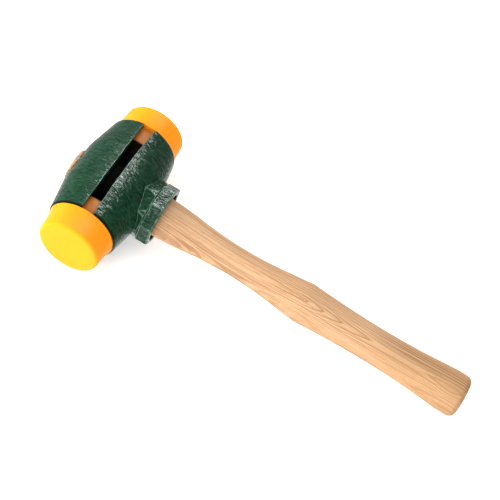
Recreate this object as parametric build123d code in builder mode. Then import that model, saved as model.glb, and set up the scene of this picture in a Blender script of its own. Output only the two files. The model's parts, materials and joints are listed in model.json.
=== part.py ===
from build123d import *
import os
from math import asin, atan2, degrees, hypot

# Split-head hammer: two cast halves clamp a pair of plastic striking faces, and an
# octagonal nut on the neck of the upper half draws the lower half up against them.
# It is drawn with the head along Y and the handle along +X, and laid on its side at the end.
# All dimensions are in millimetres.

# Cast head
barrel_radius = 31.0
barrel_land = 15.0
rim_radius = 26.2
rim_reach = 43.2
rim_rounding = 1.5
shoulder_rounding = 22.0
cast_rounding = 0.8

# Gap between the halves, a little narrower at the crown than at the rims
upper_gap_rim = 4.6
upper_gap_crown = 3.8
lower_gap_rim = 4.75
lower_gap_crown = 4.3

# Neck of the upper half and the eye through it
neck_radius = 18.4
neck_start = -8.6
neck_end = 38.5
neck_chamfer = 0.6
collar_bore_radius = 18.6
eye_width_top = 13.0
eye_height_top = 8.8
eye_width_neck = 15.3
eye_height_neck = 13.0

# Boss of the lower half, an octagon with a corner at the top
boss_start = 12.0
boss_end = 32.1
boss_radius_start = 19.8
boss_radius_end = 23.5
boss_across_flats = 44.8

# Clamp nut, an octagon with a flat at the top
nut_start = 32.2
nut_end = 41.8
nut_across_flats = 43.0
nut_bore_radius = 18.5
nut_chamfer = 0.6

# Turn that puts a flat of an octagon at the top
flat_up = 22.5

# Striking faces, plain shank behind a flared body
shank_radius = 21.7
shank_end = 28.3
pocket_radius = 21.8
pocket_floor = 27.6
face_seat = 43.3
face_root_radius = 25.3
face_body_radius = 23.95
face_body_start = 50.0
face_front_radius = 23.2
face_front = 62.0
face_edge_rounding = 2.8
shank_chamfer = 0.8

# Handle sections: (station along the handle, half-width across the head axis)
handle_flatness = 0.85
knuckle = (156.8, 15.6)
throat_sections = [
    (neck_end, 15.7),
    (58.0, 14.3),
    (78.0, 12.15),
    (102.0, 11.05),
    (125.0, 12.0),
    (142.0, 13.85),
    knuckle,
]
grip_sections = [
    knuckle,
    (184.0, 14.05),
    (216.0, 13.4),
    (242.0, 14.05),
    (262.0, 15.45),
    (275.0, 16.38),
    (285.9, 15.95),
]
butt_rounding = 4.0
tip_end = -32.2
resting_station = 277.0
resting_half_height = 14.0

# Wedge in the tip of the handle
kerf_width = 3.2
kerf_root_width = 1.0
kerf_depth = 30.0
wedge_depth = 27.0
wedge_root_width = kerf_width - (kerf_width - kerf_root_width) * wedge_depth / kerf_depth

# Sizes of the cutting tools
slab = 2 * barrel_radius
cut_end = rim_reach + 1


# Half of the barrel profile, turned about the head axis by both castings
with BuildSketch() as barrel_profile:
    with BuildLine():
        Polyline(
            (0, -rim_reach),
            (rim_radius, -rim_reach),
            (barrel_radius, -barrel_land),
            (barrel_radius, barrel_land),
            (rim_radius, rim_reach),
            (0, rim_reach),
            close=True,
        )
    make_face()
    corners = barrel_profile.vertices().sort_by(Axis.X)[2:]
    fillet(corners.filter_by_position(Axis.X, rim_radius - 1, rim_radius + 1), rim_rounding)
    shoulders = barrel_profile.vertices().filter_by_position(
        Axis.X, barrel_radius - 0.1, barrel_radius + 0.1
    )
    fillet(shoulders, shoulder_rounding)

# Tapered eye that the handle is driven into
with BuildPart() as eye:
    with BuildSketch(Plane.YZ.offset(tip_end)):
        Ellipse(eye_width_top, eye_height_top)
    with BuildSketch(Plane.YZ.offset(neck_end)):
        Ellipse(eye_width_neck, eye_height_neck)
    loft()

# Upper half: crown of the barrel with the long neck that carries everything else
with BuildPart() as upper_clamp_half:
    add(barrel_profile.sketch)
    revolve(axis=Axis.Y)
    with BuildSketch():
        with BuildLine():
            ThreePointArc(
                (-upper_gap_rim, -cut_end),
                (-upper_gap_crown, 0),
                (-upper_gap_rim, cut_end),
            )
            Polyline(
                (-upper_gap_rim, cut_end),
                (slab, cut_end),
                (slab, -cut_end),
                (-upper_gap_rim, -cut_end),
            )
        make_face()
    extrude(amount=slab, both=True, mode=Mode.SUBTRACT)
    with BuildSketch(Plane.XZ.offset(pocket_floor), Plane.XZ.offset(-rim_reach)):
        Circle(pocket_radius)
    extrude(amount=rim_reach - pocket_floor, mode=Mode.SUBTRACT)
    with BuildSketch(Plane.YZ.offset(neck_start)):
        Circle(neck_radius)
    extrude(amount=neck_end - neck_start)
    neck_rim = upper_clamp_half.edges().filter_by(GeomType.CIRCLE).sort_by(Axis.X)[-1]
    chamfer(neck_rim, neck_chamfer)
    add(eye.part, mode=Mode.SUBTRACT)

# Boss that stands on the lower half and carries the nut
with BuildPart() as boss:
    with BuildSketch(Plane.YZ.offset(boss_start)):
        RegularPolygon(boss_radius_start, 8)
    with BuildSketch(Plane.YZ.offset(boss_end)):
        RegularPolygon(boss_radius_end, 8)
    loft()
    with BuildSketch(Plane.YZ.offset(boss_start)):
        RegularPolygon(boss_across_flats / 2, 8, major_radius=False, rotation=flat_up)
    extrude(amount=boss_end - boss_start, mode=Mode.INTERSECT)

# Lower half: slides along the neck and is pushed up by the nut
with BuildPart() as lower_clamp_half:
    add(barrel_profile.sketch)
    revolve(axis=Axis.Y)
    with BuildSketch():
        with BuildLine():
            ThreePointArc(
                (lower_gap_rim, -cut_end),
                (lower_gap_crown, 0),
                (lower_gap_rim, cut_end),
            )
            Polyline(
                (lower_gap_rim, cut_end),
                (-slab, cut_end),
                (-slab, -cut_end),
                (lower_gap_rim, -cut_end),
            )
        make_face()
    extrude(amount=slab, both=True, mode=Mode.SUBTRACT)
    add(boss.part)
    with BuildSketch(Plane.XZ.offset(pocket_floor), Plane.XZ.offset(-rim_reach)):
        Circle(pocket_radius)
    extrude(amount=rim_reach - pocket_floor, mode=Mode.SUBTRACT)
    with BuildSketch(Plane.YZ):
        Circle(collar_bore_radius)
    extrude(amount=slab, mode=Mode.SUBTRACT)

# Octagonal nut, threaded on the end of the neck
with BuildPart() as clamp_nut:
    with BuildSketch(Plane.YZ.offset(nut_start)):
        RegularPolygon(nut_across_flats / 2, 8, major_radius=False, rotation=flat_up)
    extrude(amount=nut_end - nut_start)
    chamfer(clamp_nut.edges().group_by(Axis.X)[-1], nut_chamfer)
    chamfer(clamp_nut.edges().group_by(Axis.X)[0], nut_chamfer)
    with BuildSketch(Plane.YZ.offset(nut_start)):
        Circle(nut_bore_radius)
    extrude(amount=nut_end - nut_start, mode=Mode.SUBTRACT)

# Striking face: plain shank in the pocket, flared root against the rim, rounded front edge
with BuildPart() as front_face:
    with BuildSketch():
        with BuildLine():
            Polyline(
                (0, -shank_end),
                (shank_radius - shank_chamfer, -shank_end),
                (shank_radius, -shank_end - shank_chamfer),
                (shank_radius, -face_seat),
                (face_root_radius, -face_seat),
            )
            Spline(
                (face_root_radius, -face_seat),
                (face_body_radius, -face_body_start),
                (face_front_radius, -face_front),
            )
            Polyline((face_front_radius, -face_front), (0, -face_front), (0, -shank_end))
        make_face()
    revolve(axis=Axis.Y)
    front_edge = front_face.edges().filter_by(GeomType.CIRCLE).sort_by(Axis.Y)[0]
    fillet(front_edge, face_edge_rounding)

with BuildPart() as back_face:
    mirror(front_face.part, about=Plane.XZ)

# Kerf sawn in the tip of the handle, across the head axis
with BuildPart() as kerf:
    with BuildSketch():
        Polygon(
            (tip_end, -kerf_width / 2),
            (tip_end, kerf_width / 2),
            (tip_end + kerf_depth, kerf_root_width / 2),
            (tip_end + kerf_depth, -kerf_root_width / 2),
            align=None,
        )
    extrude(amount=barrel_radius, both=True)

# Handle: tapered tenon through the eye, slim throat, knuckle, then the swelling grip
with BuildPart() as handle:
    for station, half_width in throat_sections:
        with BuildSketch(Plane.YZ.offset(station)):
            Ellipse(half_width, half_width * handle_flatness)
    loft()
    for station, half_width in grip_sections:
        with BuildSketch(Plane.YZ.offset(station)):
            Ellipse(half_width, half_width * handle_flatness)
    loft()
    fillet(handle.faces().sort_by(Axis.X)[-1].edges(), butt_rounding)
    add(eye.part)
    add(kerf.part, mode=Mode.SUBTRACT)

# Wooden wedge that spreads the tenon in the eye
with BuildPart() as wooden_wedge:
    add(eye.part)
    with BuildSketch():
        Polygon(
            (tip_end, -kerf_width / 2),
            (tip_end, kerf_width / 2),
            (tip_end + wedge_depth, wedge_root_width / 2),
            (tip_end + wedge_depth, -wedge_root_width / 2),
            align=None,
        )
    extrude(amount=barrel_radius, both=True, mode=Mode.INTERSECT)

# The hammer lies on its side: the barrel and the palm swell both touch the bench
pieces = [
    upper_clamp_half, lower_clamp_half, clamp_nut, front_face, back_face, handle, wooden_wedge,
]
tilt = degrees(
    asin(barrel_radius / hypot(resting_station, resting_half_height))
    - atan2(resting_half_height, resting_station)
)
for piece in pieces:
    piece.part = Rotation(0, tilt, 0) * piece.part
extent = Compound([piece.part for piece in pieces]).bounding_box()
for piece in pieces:
    piece.part = Pos(-extent.center().X, -extent.center().Y, -extent.min.Z) * piece.part

os.makedirs("parts", exist_ok=True)

upper_clamp_half.part.label = "upper_clamp_half"
export_step(upper_clamp_half.part, "parts/upper_clamp_half.step")

lower_clamp_half.part.label = "lower_clamp_half"
export_step(lower_clamp_half.part, "parts/lower_clamp_half.step")

clamp_nut.part.label = "clamp_nut"
export_step(clamp_nut.part, "parts/clamp_nut.step")

front_face.part.label = "front_face"
export_step(front_face.part, "parts/front_face.step")

back_face.part.label = "back_face"
export_step(back_face.part, "parts/back_face.step")

handle.part.label = "handle"
export_step(handle.part, "parts/handle.step")

wooden_wedge.part.label = "wooden_wedge"
export_step(wooden_wedge.part, "parts/wooden_wedge.step")
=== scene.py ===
"""Split-head soft-face hammer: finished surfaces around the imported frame."""
import json
import math

import bmesh
import bpy
import numpy as np
from mathutils import Matrix, Vector, noise
from mathutils.kdtree import KDTree


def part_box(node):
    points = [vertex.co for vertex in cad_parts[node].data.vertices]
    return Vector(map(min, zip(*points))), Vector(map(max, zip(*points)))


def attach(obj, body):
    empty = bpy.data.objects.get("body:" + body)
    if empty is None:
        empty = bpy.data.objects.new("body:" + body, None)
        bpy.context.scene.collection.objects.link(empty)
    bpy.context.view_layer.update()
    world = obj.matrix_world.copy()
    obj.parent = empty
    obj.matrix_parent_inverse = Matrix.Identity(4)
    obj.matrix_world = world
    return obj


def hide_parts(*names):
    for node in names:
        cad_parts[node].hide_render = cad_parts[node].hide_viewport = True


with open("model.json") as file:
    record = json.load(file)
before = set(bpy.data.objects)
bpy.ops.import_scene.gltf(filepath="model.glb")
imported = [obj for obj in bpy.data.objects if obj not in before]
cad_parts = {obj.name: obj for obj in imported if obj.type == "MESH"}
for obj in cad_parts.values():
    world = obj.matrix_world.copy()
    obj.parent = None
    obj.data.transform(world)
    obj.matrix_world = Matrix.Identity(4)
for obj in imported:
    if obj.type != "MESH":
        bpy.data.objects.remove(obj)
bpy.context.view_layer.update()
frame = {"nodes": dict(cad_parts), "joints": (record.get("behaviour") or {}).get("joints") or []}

MM = 0.001

# ---------------------------------------------------------------- the hammer's own frame
# Origin at the middle of the head, X along the handle, Y along the head, lengths in mm.
joints = {joint["name"]: joint for joint in frame["joints"]}
along = Vector(joints["jaw_slide"]["axis"]).normalized()
across = Vector((0, 1, 0))
upward = along.cross(across)
front_low, front_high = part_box("front_face")
back_low, back_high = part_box("back_face")
head_centre = (front_low + front_high + back_low + back_high) / 4
hammer = Matrix((along, across, upward)).transposed().to_4x4()
hammer.translation = head_centre
to_hammer = hammer.inverted()

# ---------------------------------------------------------------- dimensions, in mm

# Cast head; the castings are bare inside BARE_RADIUS, where they are coloured near-black as
# painted shade
BARREL_RADIUS = 31.0
BARREL_LAND = 15.0
RIM_RADIUS = 26.2
RIM_REACH = 43.2
BARE_RADIUS = 22.4
NUT_HOLLOW_RADIUS = 19.2

# Which edges count as crisp, and how closely they are sampled
CRISP_ANGLE = math.radians(22)
EDGE_STEP = 0.3
INWARD_OFFSET = 0.2

# Cast skin: broad lumps and fine ripples, weaker away from the outer skin
LUMP_HEIGHT = 0.05
LUMP_LENGTH = 4.0
RIPPLE_HEIGHT = 0.085
RIPPLE_LENGTH = 1.35
RIPPLE_STRETCH = (0.38, 1.0, 0.38)
HIDDEN_SHARE = 0.15
SKIN_FADE = 1.5

# Striking faces
SHANK_RADIUS = 21.7
SHANK_END = 28.3
SHANK_ROUNDING = 0.8
FACE_SEAT = 43.3
FACE_FRONT = 61.9
FACE_FRONT_RADIUS = 23.15
FACE_TAPER = 0.055
FACE_CROWN = 0.08
FACE_ROUNDING = 2.8
ROOT_FLARE = 1.1
ROOT_FLARE_LENGTH = 3.0
ROOT_ROUNDING = 0.5
FACE_SEGMENTS = 160

# Tenon through the head: (half-width, half-height) at its ends
TIP_END = -32.2
TENON_END = 38.5
TENON_TIP = (13.0, 8.8)
TENON_NECK = (15.3, 13.0)

# Kerf for the wedge: half-widths beyond the wood, at the tip and at the root
KERF_MOUTH = 2.1
KERF_TIP = 2.02
KERF_ROOT = 0.5
KERF_DEPTH = 30.0
KERF_HEIGHT = 16.0

# Handle
KNUCKLE = 156.8
BUTT_END = 285.9
BUTT_ROUNDING = 4.2
BUTT_CROWN = 0.26
FLATNESS = 0.85
RING_STEP = 1.3
HANDLE_SEGMENTS = 120

# (station along the handle, half-width), on each side of the knuckle
THROAT = [
    (TENON_END, 15.7),
    (58.0, 14.3),
    (78.0, 12.15),
    (102.0, 11.05),
    (125.0, 12.0),
    (142.0, 13.85),
    (KNUCKLE, 15.6),
]
GRIP = [
    (KNUCKLE, 15.6),
    (184.0, 14.05),
    (216.0, 13.4),
    (242.0, 14.05),
    (262.0, 15.45),
    (275.0, 16.38),
    (BUTT_END, 15.95),
]

# ---------------------------------------------------------------- materials


class Graph:
    """Short way to write a node material. Object coordinates are the hammer's own frame."""

    def __init__(self, name):
        self.material = bpy.data.materials.new(name)
        self.material.use_nodes = True
        self.tree = self.material.node_tree
        self.shader = self.tree.nodes["Principled BSDF"]
        coords = self.tree.nodes.new("ShaderNodeTexCoord")
        self.object = coords.outputs["Object"]

    def node(self, kind, inputs=(), **settings):
        made = self.tree.nodes.new("ShaderNode" + kind)
        for key, value in settings.items():
            setattr(made, key, value)
        for key, value in dict(inputs).items():
            self.plug(made.inputs[key], value)
        return made

    def plug(self, socket, value):
        if isinstance(value, bpy.types.NodeSocket):
            self.tree.links.new(value, socket)
        else:
            socket.default_value = value

    def math(self, operation, a, b=0.0, clamp=False):
        made = self.node("Math", {0: a, 1: b}, operation=operation, use_clamp=clamp)
        return made.outputs[0]

    def plus(self, a, b):
        return self.math("ADD", a, b)

    def minus(self, a, b):
        return self.math("SUBTRACT", a, b)

    def times(self, a, b):
        return self.math("MULTIPLY", a, b)

    def larger(self, a, b):
        return self.math("MAXIMUM", a, b)

    def fade(self, value, none, full):
        """0 where the value is none, 1 where it is full, and in between by distance."""
        return self.math("DIVIDE", self.minus(value, none), full - none, clamp=True)

    def mapping(self, scale, turn=0.0, shift=0.0):
        """Object coordinates scaled, turned about the handle by degrees, and moved along it."""
        settings = {
            "Vector": self.object,
            "Scale": scale,
            "Rotation": (math.radians(turn), 0, 0),
            "Location": (shift, 0, 0),
        }
        return self.node("Mapping", settings).outputs[0]

    def place(self, turn=0.0):
        """x, y and z in mm."""
        scaled = self.mapping((1 / MM, 1 / MM, 1 / MM), turn)
        return self.node("SeparateXYZ", {0: scaled}).outputs[:3]

    def noise(self, waves, detail, roughness=0.5, distortion=0.0, shift=0.0):
        """Noise with its own number of waves per metre along each axis."""
        settings = {
            "Vector": self.mapping(waves, shift=shift),
            "Scale": 1.0,
            "Detail": detail,
            "Roughness": roughness,
            "Distortion": distortion,
        }
        return self.node("TexNoise", settings).outputs["Fac"]

    def even_noise(self, waves, detail, roughness=0.5):
        """Noise with the same number of waves per metre in every direction."""
        settings = {
            "Vector": self.mapping((1, 1, 1)),
            "Scale": waves,
            "Detail": detail,
            "Roughness": roughness,
        }
        return self.node("TexNoise", settings).outputs["Fac"]

    def ramp(self, value, *stops):
        made = self.node("ValToRGB", {"Fac": value})
        elements = made.color_ramp.elements
        while len(elements) < len(stops):
            elements.new(0.5)
        for element, (position, colour) in zip(elements, stops):
            element.position = position
            shade = (colour, colour, colour) if isinstance(colour, float) else colour
            element.color = (*shade, 1.0)
        return made.outputs["Color"]

    def mix(self, factor, a, b):
        made = self.node("Mix", data_type="RGBA", clamp_factor=True)
        sockets = (made.inputs[0], made.inputs[6], made.inputs[7])
        for socket, value in zip(sockets, (factor, a, b)):
            if isinstance(value, tuple):
                value = (*value, 1.0)
            self.plug(socket, value)
        return made.outputs[2]

    def bump(self, height, strength, distance):
        settings = {"Height": height, "Strength": strength, "Distance": distance}
        return self.node("Bump", settings).outputs[0]

    def finish(self, **sockets):
        for key, value in sockets.items():
            self.plug(self.shader.inputs[key.replace("_", " ")], value)
        return self.material


def enamel_material():
    deep_green = (0.0058, 0.030, 0.0140)
    green = (0.0095, 0.044, 0.021)
    pooled_green = (0.002, 0.013, 0.006)
    thin_green = (0.016, 0.066, 0.036)
    edge_highlight_green = (0.115, 0.200, 0.150)
    seam_shade = (0.002, 0.007, 0.004)
    g = Graph("cast_enamel")
    x, y, _ = g.place()
    # worms of thick paint, long around the barrel and short along it
    ripple = g.noise((170.0, 560.0, 170.0), 0.6, 0.4, 0.5)
    worm = g.math("ABSOLUTE", g.minus(g.times(ripple, 2.0), 1.0))
    patches = g.even_noise(70.0, 4.0, 0.55)
    base = g.ramp(patches, (0.3, deep_green), (0.7, green))
    pooled = g.mix(g.ramp(worm, (0.0, 0.85), (0.14, 0.0)), base, pooled_green)
    colour = g.mix(g.ramp(worm, (0.22, 0.0), (0.45, 0.35)), pooled, thin_green)
    # painted highlight: pale lines along the crisp edges, in broken lines, where the rounded edges
    # catch the light
    edge_distance = g.node("Attribute", attribute_name="edge_distance").outputs["Fac"]
    broken = g.ramp(g.even_noise(420.0, 2.0), (0.35, 0.35), (0.6, 1.0))
    edges = g.times(g.ramp(edge_distance, (0.35, 0.75), (0.75, 0.0)), broken)
    # the painted edge highlight is kept faint on the back of the boss, between the barrel and the
    # nut
    barrelward = g.fade(x, 8.5, 6.5)
    nutward = g.fade(x, 31.0, 33.0)
    frontward = g.fade(y, 7.5, 3.5)
    edge_highlight_share = g.larger(g.larger(barrelward, nutward), g.larger(frontward, 0.25))
    colour = g.mix(g.times(edges, edge_highlight_share), colour, edge_highlight_green)
    # painted shade: a dark line around the striking faces, where the casting's rim meets them
    seam = g.fade(g.math("ABSOLUTE", y), 42.1, 42.433)
    colour = g.mix(seam, colour, seam_shade)
    rough = g.ramp(patches, (0.3, 0.11), (0.75, 0.16))
    coat = g.bump(worm, 1.0, 0.00045)
    return g.finish(Base_Color=colour, Roughness=rough, Normal=coat, Specular_IOR_Level=0.2)


def shaded_bare_iron_material():
    """Unpainted iron with old oil inside the head and on the neck; its near-black colour is
    painted shade for the shadowed slot.
    """
    g = Graph("shaded_bare_iron")
    stain = g.even_noise(260.0, 4.0, 0.6)
    ridges = {"Vector": g.mapping((1, 1, 1)), "Scale": 52.0}
    thread = g.node("TexWave", ridges, bands_direction="X").outputs["Fac"]
    colour = g.ramp(stain, (0.3, (0.0012, 0.0012, 0.0012)), (0.75, (0.005, 0.005, 0.0045)))
    rough = g.ramp(stain, (0.3, 0.7), (0.8, 0.9))
    threads = g.bump(thread, 0.3, 0.0004)
    return g.finish(Base_Color=colour, Roughness=rough, Normal=threads, Specular_IOR_Level=0.02)


def plastic_material():
    amber = (0.97, 0.262, 0.007)
    light_amber = (1.0, 0.292, 0.011)
    struck_amber = (1.0, 0.335, 0.012)
    shank_shade_amber = (0.50, 0.155, 0.012)
    shank_end_shade = (0.012, 0.005, 0.003)
    g = Graph("face_plastic")
    _, y, _ = g.place()
    reach = g.math("ABSOLUTE", y)
    colour = g.ramp(g.even_noise(60.0, 3.0), (0.3, amber), (0.7, light_amber))
    # paler towards the struck end; deeper on the shank and near-black at its inner end, both
    # painted shade for the dark slot
    paler = g.ramp(g.fade(reach, 42.5, 62.5), (0.0, 0.0), (0.9, 0.35), (0.975, 1.0))
    colour = g.mix(paler, colour, struck_amber)
    colour = g.mix(g.fade(reach, 43.4, 43.067), colour, shank_shade_amber)
    colour = g.mix(g.fade(reach, 30.1, 29.331), colour, shank_end_shade)
    rough = g.ramp(g.even_noise(240.0, 3.0, 0.6), (0.3, 0.32), (0.75, 0.45))
    g.shader.subsurface_method = "RANDOM_WALK"
    return g.finish(
        Base_Color=colour,
        Roughness=rough,
        Normal=g.bump(g.even_noise(1400.0, 2.0), 0.10, 0.0001),
        Specular_IOR_Level=0.06,
        Subsurface_Weight=0.6,
        Subsurface_Radius=(1.0, 0.3, 0.05),
        Subsurface_Scale=0.004,
    )


def growth_rings(g, x, y, z):
    """Dark ring lines that slope slightly along the handle, so its swells cut them into arches."""
    spacing = 1.1
    wander = g.noise((12.0, 120.0, 60.0), 2.0)
    level = g.minus(z, g.times(x, 0.03))
    throat_slope = g.times(g.math("MINIMUM", g.minus(x, 156.0), 0.0), 0.09)
    level = g.minus(level, throat_slope)
    level = g.minus(level, g.times(g.math("POWER", y, 2.0), 0.03))
    level = g.minus(level, g.times(g.math("ABSOLUTE", y), 0.18))
    level = g.plus(level, g.plus(g.times(wander, 0.45), 0.22))
    ring = g.math("FRACT", g.math("DIVIDE", g.minus(level, 5.82), spacing))
    rising = ((0.0, 0.8), (0.03, 1.0), (0.11, 0.9))
    falling = ((0.22, 0.3), (0.50, 0.0), (0.93, 0.0), (1.0, 0.8))
    lines = g.ramp(ring, *rising, *falling)
    # towards the head they all but run out
    neckward = g.fade(x, 135.0, 113.0)
    far_side = g.fade(y, -4.0, 0.0)
    shown = g.minus(1.0, g.times(neckward, g.larger(far_side, 0.93)))
    return g.times(lines, shown)


def hickory_material():
    deep_tan = (0.50, 0.293, 0.150)
    tan = (0.56, 0.343, 0.186)
    light_tan = (0.60, 0.383, 0.217)
    glow_tan = (0.64, 0.39, 0.23)
    butt_tan = (0.40, 0.22, 0.09)
    sawn_tan = (0.32, 0.18, 0.11)
    ring_brown = (0.20, 0.08, 0.02)
    streak_brown = (0.31, 0.140, 0.060)
    hair_brown = (0.21, 0.09, 0.04)
    heavy_brown = (0.17, 0.075, 0.03)
    pore_brown = (0.20, 0.085, 0.035)
    seam_shade_black = (0.012, 0.008, 0.005)
    g = Graph("hickory")
    x, y, z = g.place(turn=-24)
    broad = g.noise((9.0, 90.0, 90.0), 3.0, shift=0.3)
    colour = g.ramp(broad, (0.3, deep_tan), (0.5, tan), (0.7, light_tan))
    # streaks, hairs and the band change little with depth, or the tapers would chop them up
    streaks = g.noise((6.0, 950.0, 260.0), 3.0, 0.6)
    glow = g.ramp(streaks, (0.30, 1.0), (0.46, 0.0))
    colour = g.mix(g.times(glow, 0.5), colour, glow_tan)
    colour = g.mix(g.times(growth_rings(g, x, y, z), 0.60), colour, ring_brown)
    streak = g.ramp(streaks, (0.48, 0.0), (0.62, 1.0))
    colour = g.mix(g.times(streak, 0.50), colour, streak_brown)
    # fine straight lines on the near side of the throat
    hairs = g.ramp(g.noise((2.5, 1250.0, 150.0), 2.0), (0.45, 0.0), (0.57, 1.0))
    hairs = g.times(g.times(hairs, g.fade(y, 2.0, -5.0)), g.fade(x, 150.0, 110.0))
    colour = g.mix(g.times(hairs, 0.45), colour, hair_brown)
    # a darker, coarser band of grain along one side of the butt
    buttward = g.fade(x, 205.0, 235.0)
    sideways = g.plus(g.math("DIVIDE", y, 40.0), 0.5)
    band = g.ramp(sideways, (0.52, 0.0), (0.62, 1.0), (0.74, 1.0), (0.80, 0.0))
    heavy = g.ramp(g.noise((4.0, 1000.0, 200.0), 2.0), (0.46, 0.0), (0.56, 1.0))
    heavy = g.times(g.times(buttward, band), heavy)
    colour = g.mix(g.times(heavy, 0.80), colour, heavy_brown)
    colour = g.mix(g.times(buttward, 0.35), colour, butt_tan)
    # the sawn end through the head is darker, and the black line where it meets the casting is
    # painted shade
    x, _, z = g.place()
    sawn = g.fade(x, -28.0, -29.0)
    colour = g.mix(g.times(sawn, 0.30), colour, sawn_tan)
    radial = g.math("SQRT", g.plus(g.math("POWER", x, 2.0), g.math("POWER", z, 2.0)))
    colour = g.mix(g.fade(radial, 31.45, 31.117), colour, seam_shade_black)
    pores = g.noise((90.0, 3000.0, 3000.0), 3.0, 0.6)
    pore = g.ramp(pores, (0.52, 0.0), (0.70, 1.0))
    colour = g.mix(g.times(pore, 0.35), colour, pore_brown)
    rough = g.ramp(pores, (0.3, 0.58), (0.8, 0.72))
    pitted = g.bump(pore, 0.12, 0.00012)
    return g.finish(Base_Color=colour, Roughness=rough, Normal=pitted, Specular_IOR_Level=0.1)


def wedge_material():
    g = Graph("wedge_wood")
    fibres = g.noise((60.0, 2400.0, 900.0), 3.0, 0.6)
    colour = g.ramp(fibres, (0.3, (0.24, 0.185, 0.115)), (0.7, (0.34, 0.28, 0.185)))
    return g.finish(Base_Color=colour, Roughness=0.7, Normal=g.bump(fibres, 0.4, 0.0003))


def floor_material():
    return Graph("studio_floor").finish(
        Base_Color=(0.95, 0.95, 0.95, 1.0),
        Roughness=0.9,
        Specular_IOR_Level=0.1,
        Emission_Color=(1.0, 1.0, 1.0, 1.0),
        Emission_Strength=0.32,
    )


enamel = enamel_material()
shaded_bare_iron = shaded_bare_iron_material()
plastic = plastic_material()
hickory = hickory_material()
wedge_wood = wedge_material()

# ---------------------------------------------------------------- mesh helpers


def add_object(name, data):
    obj = bpy.data.objects.new(name, data)
    bpy.context.scene.collection.objects.link(obj)
    return obj


def mesh_object(name, points, faces, material):
    """New object in the hammer's own frame, from points in mm."""
    mesh = bpy.data.meshes.new(name)
    mesh.from_pydata([tuple(p) for p in np.asarray(points) * MM], [], faces)
    mesh.validate()
    bm = bmesh.new()
    bm.from_mesh(mesh)
    bmesh.ops.recalc_face_normals(bm, faces=bm.faces)
    bm.to_mesh(mesh)
    bm.free()
    mesh.materials.append(material)
    obj = add_object(name, mesh)
    obj.matrix_world = hammer
    return obj


def apply_modifiers(obj):
    """Replaces the object's mesh by what its modifiers make of it."""
    bpy.context.view_layer.update()
    evaluated = obj.evaluated_get(bpy.context.evaluated_depsgraph_get())
    mesh = bpy.data.meshes.new_from_object(evaluated)
    obj.modifiers.clear()
    old = obj.data
    obj.data = mesh
    bpy.data.meshes.remove(old)


def read_vectors(source, key):
    vectors = np.empty(len(source) * 3, np.float32)
    source.foreach_get(key, vectors)
    return vectors.reshape(-1, 3).astype(float)


def fractal(points, wavelength, seed):
    """Noise in about -1..1 at points in mm."""
    roughness, lacunarity, octaves = 0.6, 2.0, 2
    shifted = points / wavelength + seed
    return np.array([noise.fractal(Vector(p), roughness, lacunarity, octaves) for p in shifted])


def loft_rings(rings):
    """Points and faces of a closed skin over equal rings of points."""
    count = len(rings[0])
    points = [p for ring in rings for p in ring]
    faces = []
    for i in range(len(rings) - 1):
        for j in range(count):
            k = (j + 1) % count
            faces.append((i * count + j, i * count + k, (i + 1) * count + k, (i + 1) * count + j))
    points.append(np.mean(rings[0], axis=0))
    faces += [(len(points) - 1, (j + 1) % count, j) for j in range(count)]
    last = (len(rings) - 1) * count
    points.append(np.mean(rings[-1], axis=0))
    faces += [(len(points) - 1, last + j, last + (j + 1) % count) for j in range(count)]
    return points, faces


# ---------------------------------------------------------------- castings


def barrel_radius_at(y):
    """Outer radius of the cast barrel at a distance along the head."""
    slope = (BARREL_RADIUS - RIM_RADIUS) / (RIM_REACH - BARREL_LAND)
    return BARREL_RADIUS - slope * np.maximum(np.abs(y) - BARREL_LAND, 0)


def crisp_edge_distance(mesh):
    """Function that gives a point's distance, in mm, from the crisp edges of a CAD casting."""
    shell = bmesh.new()
    shell.from_mesh(mesh)
    bmesh.ops.remove_doubles(shell, verts=shell.verts, dist=0.01 * MM)
    samples = []
    for edge in shell.edges:
        if len(edge.link_faces) != 2 or edge.calc_face_angle() < CRISP_ANGLE:
            continue
        # an inward corner counts as a little further off, so its painted edge highlight shows
        # fainter
        offset = 0.0 if edge.calc_face_angle_signed() > 0 else INWARD_OFFSET
        start, end = (vert.co / MM for vert in edge.verts)
        steps = 1 + int((end - start).length / EDGE_STEP)
        samples.extend((start.lerp(end, i / steps), offset) for i in range(steps + 1))
    shell.free()
    tree = KDTree(len(samples))
    for i, (point, _) in enumerate(samples):
        tree.insert(point, i)
    tree.balance()

    def distance(point):
        _, i, gap = tree.find(point)
        return gap + samples[i][1]

    return distance


def soft_copy(name, mesh, voxel):
    """Object of the mesh with small even facets and slightly softened edges."""
    obj = add_object(name, mesh)
    remesh = obj.modifiers.new("remesh", "REMESH")
    remesh.mode = "VOXEL"
    remesh.voxel_size = voxel * MM
    remesh.use_smooth_shade = True
    soften = obj.modifiers.new("soften", "SMOOTH")
    soften.factor = 0.5
    soften.iterations = 1
    apply_modifiers(obj)
    return obj


def round_barrel(points, normals, skin_depth):
    """Puts the outside of the barrel on its true radius, and says how far each point is skin."""
    reach = np.abs(points[:, 1])
    radial = np.hypot(points[:, 0], points[:, 2])
    target = barrel_radius_at(points[:, 1])
    facing = (normals[:, 0] * points[:, 0] + normals[:, 2] * points[:, 2]) / np.maximum(radial, 1)
    snap = (np.abs(radial - target) < 0.3) & (reach < RIM_REACH - 2) & (facing > 0.9)
    factor = np.where(snap, target / radial, 1.0)
    points[:, 0] *= factor
    points[:, 2] *= factor
    skin = np.clip((radial - target + skin_depth) / SKIN_FADE, 0, 1)
    return skin * np.clip((RIM_REACH - 0.4 - reach) / 1.2, 0, 1)


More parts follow.
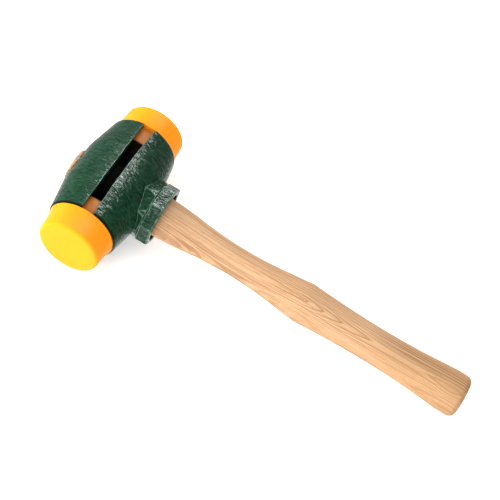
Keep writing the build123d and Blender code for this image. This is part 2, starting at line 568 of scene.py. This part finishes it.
def cast_piece(name, node, body, voxel, skin_depth):
    """Copy of a CAD casting with softened edges and real cast texture on its outer skin.

    The nut has no barrel: its skin_depth is 0 and all of it outside the hollow is skin.
    """
    mesh = frame["nodes"][node].data.copy()
    mesh.transform(to_hammer)
    edge_distance_at = crisp_edge_distance(mesh)
    obj = soft_copy(name, mesh, voxel)
    mesh = obj.data
    points = read_vectors(mesh.vertices, "co") / MM
    normals = read_vectors(mesh.vertex_normals, "vector")
    if skin_depth:
        skin = round_barrel(points, normals, skin_depth)
    else:
        radial = np.hypot(points[:, 1], points[:, 2])
        skin = np.clip((radial - NUT_HOLLOW_RADIUS) / SKIN_FADE, 0, 1)
    lumps = fractal(points, LUMP_LENGTH, 11.3)
    ripples = fractal(points * np.array(RIPPLE_STRETCH), RIPPLE_LENGTH, 47.1)
    height = LUMP_HEIGHT * lumps + RIPPLE_HEIGHT * ripples
    edge_distance = [edge_distance_at(point) for point in points]
    points += normals * (height * (HIDDEN_SHARE + (1 - HIDDEN_SHARE) * skin))[:, None]
    mesh.vertices.foreach_set("co", (points * MM).astype(np.float32).ravel())
    mesh.update()
    stored = mesh.attributes.new("edge_distance", "FLOAT", "POINT")
    stored.data.foreach_set("value", edge_distance)
    mesh.materials.clear()
    mesh.materials.append(enamel)
    mesh.materials.append(shaded_bare_iron)
    mesh.shade_smooth()
    # faces inside BARE_RADIUS take the near-black iron, painted shade for the shadowed slot and
    # bores
    if skin_depth:
        for face in mesh.polygons:
            middle = face.center / MM
            if math.hypot(middle.x, middle.z) < BARE_RADIUS:
                face.material_index = 1
    obj.matrix_world = hammer
    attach(obj, body)
    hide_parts(node)


cast_piece("upper_casting", "upper_clamp_half", "carrier", 0.45, 3.0)
cast_piece("lower_casting", "lower_clamp_half", "lower_jaw", 0.4, 3.0)
cast_piece("octagon_nut", "clamp_nut", "nut", 0.3, 0.0)

# ---------------------------------------------------------------- striking faces


def arc(cx, cy, radius, start, end, steps):
    angles = np.radians(np.linspace(start, end, steps + 1))
    return [(cx + radius * math.cos(a), cy + radius * math.sin(a)) for a in angles]


def face_profile():
    """(radius, distance along the head) from the hidden end of the shank to the front."""
    inner = SHANK_RADIUS - SHANK_ROUNDING
    shank = [(12.0, SHANK_END), (20.4, SHANK_END)]
    shank += arc(inner, SHANK_END + SHANK_ROUNDING, SHANK_ROUNDING, -90, 0, 4)
    shank += [(SHANK_RADIUS, 34.0), (SHANK_RADIUS, 39.0), (SHANK_RADIUS, 43.2)]
    seat = [(23.0, FACE_SEAT), (24.4, FACE_SEAT)]
    root = arc(24.7, FACE_SEAT + ROOT_ROUNDING, ROOT_ROUNDING, -90, -10, 4)
    flare = []
    for y in np.linspace(FACE_SEAT + 0.75, FACE_FRONT - FACE_ROUNDING, 22):
        taper = FACE_TAPER * (FACE_FRONT - y)
        widened = ROOT_FLARE * math.exp(-(y - FACE_SEAT) / ROOT_FLARE_LENGTH)
        flare.append((FACE_FRONT_RADIUS + taper + widened, y))
    edge = arc(flare[-1][0] - FACE_ROUNDING, FACE_FRONT - FACE_ROUNDING, FACE_ROUNDING, 6, 90, 10)
    front = [(17.0, FACE_FRONT + 0.03), (12.0, FACE_FRONT + 0.06), (6.0, FACE_FRONT + FACE_CROWN)]
    return shank + seat + root + flare + edge + front


def striking_face(name, node, body, side):
    angles = np.linspace(0, 2 * math.pi, FACE_SEGMENTS, endpoint=False)
    rings = []
    for radius, y in face_profile():
        rings.append([(radius * math.cos(a), side * y, radius * math.sin(a)) for a in angles])
    points, faces = loft_rings(rings)
    obj = mesh_object(name, points, faces, plastic)
    obj.data.shade_smooth()
    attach(obj, body)
    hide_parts(node)


striking_face("striking_face_front", "front_face", "front_insert", -1)
striking_face("striking_face_back", "back_face", "back_insert", 1)

# ---------------------------------------------------------------- handle


def smooth_width(sections, stations):
    """Half-widths on a smooth curve through the sections, at the stations."""
    xs, ws = np.array(sections).T
    slopes = np.gradient(ws, xs)
    i = np.clip(np.searchsorted(xs, stations, side="right") - 1, 0, len(xs) - 2)
    h = xs[i + 1] - xs[i]
    t = (stations - xs[i]) / h
    return (
        (2 * t**3 - 3 * t**2 + 1) * ws[i]
        + (t**3 - 2 * t**2 + t) * h * slopes[i]
        + (-2 * t**3 + 3 * t**2) * ws[i + 1]
        + (t**3 - t**2) * h * slopes[i + 1]
    )


def handle_ring(station, half_width, half_height):
    angles = np.linspace(0, 2 * math.pi, HANDLE_SEGMENTS, endpoint=False)
    return [(station, half_width * math.cos(a), half_height * math.sin(a)) for a in angles]


def tenon_rings():
    """From the slightly eased tip, through the head, to the end of the neck."""
    tip_width, tip_height = TENON_TIP
    neck_width, neck_height = TENON_NECK
    rings = []
    for inset, station in ((0.7, 0.0), (0.25, 0.12), (0.05, 0.4)):
        rings.append(handle_ring(TIP_END + station, tip_width - inset, tip_height - inset))
    for station in np.linspace(TIP_END + 1.2, TENON_END, 48):
        t = (station - TIP_END) / (TENON_END - TIP_END)
        half_width = tip_width + (neck_width - tip_width) * t
        half_height = tip_height + (neck_height - tip_height) * t
        rings.append(handle_ring(station, half_width, half_height))
    return rings


def swell_rings(sections, end):
    stations = np.arange(sections[0][0], end, RING_STEP)
    widths = smooth_width(sections, stations)
    return [handle_ring(s, w, w * FLATNESS) for s, w in zip(stations, widths)]


def butt_rings():
    """Rounded edge of the butt and its slightly crowned end."""
    rings = []
    for turn in np.radians(np.linspace(0, 84, 15)):
        station = BUTT_END - BUTT_ROUNDING + BUTT_ROUNDING * math.sin(turn)
        width = float(smooth_width(GRIP, np.array([station]))[0])
        inset = BUTT_ROUNDING * (1 - math.cos(turn))
        rings.append(handle_ring(station, width - inset, width * FLATNESS - inset))
    width = GRIP[-1][1] - BUTT_ROUNDING
    for share, proud in ((0.85, 0.10), (0.6, 0.2), (0.3, BUTT_CROWN)):
        station = BUTT_END - 0.02 + proud - BUTT_CROWN
        rings.append(handle_ring(station, width * share, width * FLATNESS * share))
    return rings


def handle_object():
    rings = tenon_rings()
    rings += swell_rings(THROAT, KNUCKLE)
    rings += swell_rings(GRIP, BUTT_END - BUTT_ROUNDING)
    rings += butt_rings()
    points, faces = loft_rings(rings)
    obj = mesh_object("hickory_handle", points, faces, hickory)
    obj.data.shade_smooth()
    return obj


def kerf_cutter():
    """Tapered slot for the wedge, a hair wider than the wedge at its mouth."""
    half_outline = [
        (TIP_END - 2, KERF_MOUTH),
        (TIP_END + 0.6, KERF_TIP),
        (TIP_END + KERF_DEPTH, KERF_ROOT),
    ]
    outline = half_outline + [(x, -y) for x, y in reversed(half_outline)]
    lower = [(x, y, -KERF_HEIGHT) for x, y in outline]
    upper = [(x, y, KERF_HEIGHT) for x, y in outline]
    count = len(outline)
    faces = [tuple(range(count)), tuple(range(2 * count - 1, count - 1, -1))]
    faces += [(i, (i + 1) % count, (i + 1) % count + count, i + count) for i in range(count)]
    return mesh_object("kerf_cutter", lower + upper, faces, hickory)


handle = handle_object()
cutter = kerf_cutter()
cut = handle.modifiers.new("kerf", "BOOLEAN")
cut.operation = "DIFFERENCE"
cut.solver = "EXACT"
cut.object = cutter
apply_modifiers(handle)
bpy.data.objects.remove(cutter)
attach(handle, "carrier")
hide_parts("handle")

wedge = frame["nodes"]["wooden_wedge"]
wedge.data.materials.clear()
wedge.data.materials.append(wedge_wood)

# ---------------------------------------------------------------- floor, light and camera

# In metres: half the side of the floor, and how far along the handle the lamps aim
FLOOR_HALF = 3.0
LAMP_AIM = 0.09

# Name, direction from the hammer, distance, (length along the handle, width), power
SOFT_LAMPS = [
    ("key_overhead", (-0.3, 0.0, 1.0), 1.4, (1.2, 0.9), 9),
    ("left_bank", (-0.95, -0.15, 0.28), 1.3, (1.0, 1.0), 25),
    ("front_bank", (-0.15, -0.95, 0.34), 1.4, (1.2, 0.9), 18),
    ("back_bank", (0.3, 0.95, 0.25), 1.4, (1.2, 0.9), 9),
]
GLINT_LAMPS = [
    ("glint_low", (0.28, 0.30, 0.88), 1.2, (0.8, 0.12), 10),
    ("glint_high", (0.05, 0.56, 0.82), 1.2, (0.62, 0.24), 18),
    ("glint_boss", (-0.33, 0.55, 0.77), 1.2, (0.25, 0.20), 4),
    ("glint_left", (-0.5, 0.42, 0.75), 1.2, (0.6, 0.35), 3),
    ("glint_front", (-0.05, -0.83, 0.56), 1.2, (0.5, 0.10), 2.2),
]

# What glossy rays see of the surround, side by side: axis, where the side begins, where it is
# full, and its least and most light. The three are added up.
FLOOR_SIDE = (2, -0.42, -0.80, 0.1, 1.2)
HEAD_SIDE = (0, -0.35, -0.9, 0.0, 0.45)
BACK_SIDE = (1, 0.58, 0.85, 0.0, 0.35)
DIFFUSE_LIGHT = 0.6
SEEN_LIGHT = 1.0

# Camera in the hammer's own frame: angles in degrees, then places and lens in mm
CAMERA_AZIMUTH = 5.54
CAMERA_ELEVATION = 56.01
CAMERA_ROLL = 26.55
CAMERA_DISTANCE = 1121.9
CAMERA_RIGHT = 96.66
CAMERA_DOWN = 44.31
CAMERA_LENS = 114.6672


def stage_floor():
    mesh = bpy.data.meshes.new("studio_floor")
    signs = ((-1, -1), (1, -1), (1, 1), (-1, 1))
    corners = [(x * FLOOR_HALF, y * FLOOR_HALF, 0) for x, y in signs]
    mesh.from_pydata(corners, [], [(0, 1, 2, 3)])
    mesh.materials.append(floor_material())
    obj = add_object("studio_floor", mesh)
    obj.visible_glossy = False


def area_light(name, direction, distance, size, power):
    """Rectangular lamp aimed at the hammer."""
    data = bpy.data.lights.new(name, "AREA")
    data.shape = "RECTANGLE"
    data.size, data.size_y = size
    data.energy = power
    obj = add_object(name, data)
    back = Vector(direction).normalized()
    side = (across.cross(back) if abs(back.y) < 0.95 else upward.cross(back)).normalized()
    pose = Matrix((side, back.cross(side), back)).transposed().to_4x4()
    pose.translation = head_centre + along * LAMP_AIM + back * distance
    obj.matrix_world = pose
    return obj


def stage_camera():
    azimuth = math.radians(CAMERA_AZIMUTH)
    elevation = math.radians(CAMERA_ELEVATION)
    roll = math.radians(CAMERA_ROLL)
    outward = Vector((math.sin(azimuth), -math.cos(azimuth), 0))
    back = outward * math.cos(elevation) + Vector((0, 0, math.sin(elevation)))
    level = Vector((math.cos(azimuth), math.sin(azimuth), 0))
    rise = back.cross(level)
    right = math.cos(roll) * level + math.sin(roll) * rise
    up = -math.sin(roll) * level + math.cos(roll) * rise
    data = bpy.data.cameras.new("camera")
    data.sensor_width = 36.0
    data.lens = CAMERA_LENS
    data.clip_start = 0.05
    data.clip_end = 20.0
    obj = add_object("camera", data)
    pose = Matrix((right, up, back)).transposed().to_4x4()
    pose.translation = (back * CAMERA_DISTANCE + right * CAMERA_RIGHT - up * CAMERA_DOWN) * MM
    obj.matrix_world = hammer @ pose
    bpy.context.scene.camera = obj


def studio_world():
    """Pale surround. Glossy rays see it dim, but for the floor, the head side and the back."""
    world = bpy.data.worlds.new("studio")
    world.use_nodes = True
    nodes, links = world.node_tree.nodes, world.node_tree.links
    background = nodes["Background"]
    background.inputs["Color"].default_value = (1, 1, 1, 1)
    direction = nodes.new("ShaderNodeSeparateXYZ")
    links.new(nodes.new("ShaderNodeTexCoord").outputs["Generated"], direction.inputs[0])

    def side_light(axis, *limits):
        side = nodes.new("ShaderNodeMapRange")
        for socket, value in zip(side.inputs[1:5], limits):
            socket.default_value = value
        links.new(direction.outputs[axis], side.inputs[0])
        return side.outputs[0]

    def added(a, b):
        total = nodes.new("ShaderNodeMath")
        links.new(a, total.inputs[0])
        links.new(b, total.inputs[1])
        return total.outputs[0]

    reflected = added(side_light(*FLOOR_SIDE), side_light(*HEAD_SIDE))
    reflected = added(reflected, side_light(*BACK_SIDE))
    path = nodes.new("ShaderNodeLightPath")
    glossy = nodes.new("ShaderNodeMix")
    glossy.inputs[2].default_value = DIFFUSE_LIGHT
    links.new(reflected, glossy.inputs[3])
    links.new(path.outputs["Is Glossy Ray"], glossy.inputs[0])
    seen = nodes.new("ShaderNodeMix")
    seen.inputs[3].default_value = SEEN_LIGHT
    links.new(path.outputs["Is Camera Ray"], seen.inputs[0])
    links.new(glossy.outputs[0], seen.inputs[2])
    links.new(seen.outputs[0], background.inputs["Strength"])
    bpy.context.scene.world = world


stage_floor()
for lamp in SOFT_LAMPS:
    area_light(*lamp).visible_glossy = False
# these lamps only show as glints
for lamp in GLINT_LAMPS:
    area_light(*lamp).visible_diffuse = False
studio_world()
bpy.context.scene.view_settings.view_transform = "Standard"
stage_camera()

# ---------------------------------------------------------------- final scene update

bpy.context.view_layer.update()
